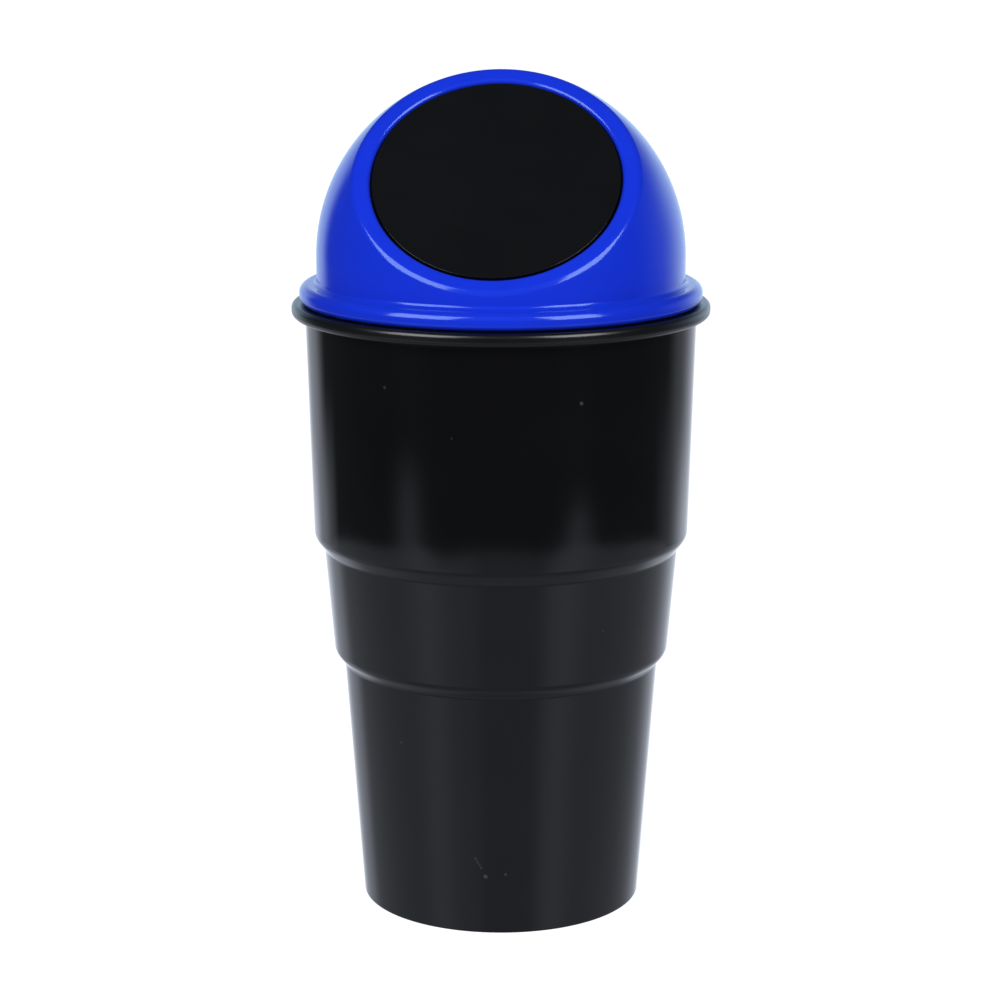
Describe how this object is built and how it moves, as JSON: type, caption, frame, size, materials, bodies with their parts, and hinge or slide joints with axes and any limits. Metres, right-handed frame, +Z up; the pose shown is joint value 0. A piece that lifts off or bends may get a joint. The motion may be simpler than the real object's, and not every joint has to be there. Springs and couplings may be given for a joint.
{
  "type": "car trash can",
  "caption": "Stepped, tapered car trash can for a cup holder, with a push-on domed lid and a sprung round flap in a slanting opening.",
  "frame": {"origin": "middle of the base, on the surface that the can stands on", "axes": "+Z up along the can's axis; the slanting opening faces -Y and up; the flap's pin lies along X"},
  "size_m": [0.0944, 0.0944, 0.1907],
  "materials": {
    "black_cup": "black moulded plastic with a soft gloss",
    "blue_lid": "glossy blue moulded plastic",
    "black_flap": "black moulded plastic, satin",
    "pin_steel": "drawn steel rod",
    "spring_steel": "bright spring wire"
  },
  "bodies": {
    "bin": {"bin_cup": "black_cup"},
    "lid": {"dome_lid": "blue_lid", "hinge_pin": "pin_steel", "return_spring": "spring_steel"},
    "flap": {"flap_door": "black_flap"}
  },
  "joints": [
    {"name": "lid_lift", "type": "slide", "parent": "bin", "child": "lid", "axis": [0, 0, 1], "range_m": [0, 0.08]},
    {"name": "flap_swing", "type": "hinge", "parent": "lid", "child": "flap", "pos_m": [0, 0.00648, 0.1852], "axis": [1, 0, 0], "range_deg": [0, 75], "stiffness_Nm_per_rad": 0.006, "springref_deg": -22.92, "deforming": ["return_spring"]}
  ]
}
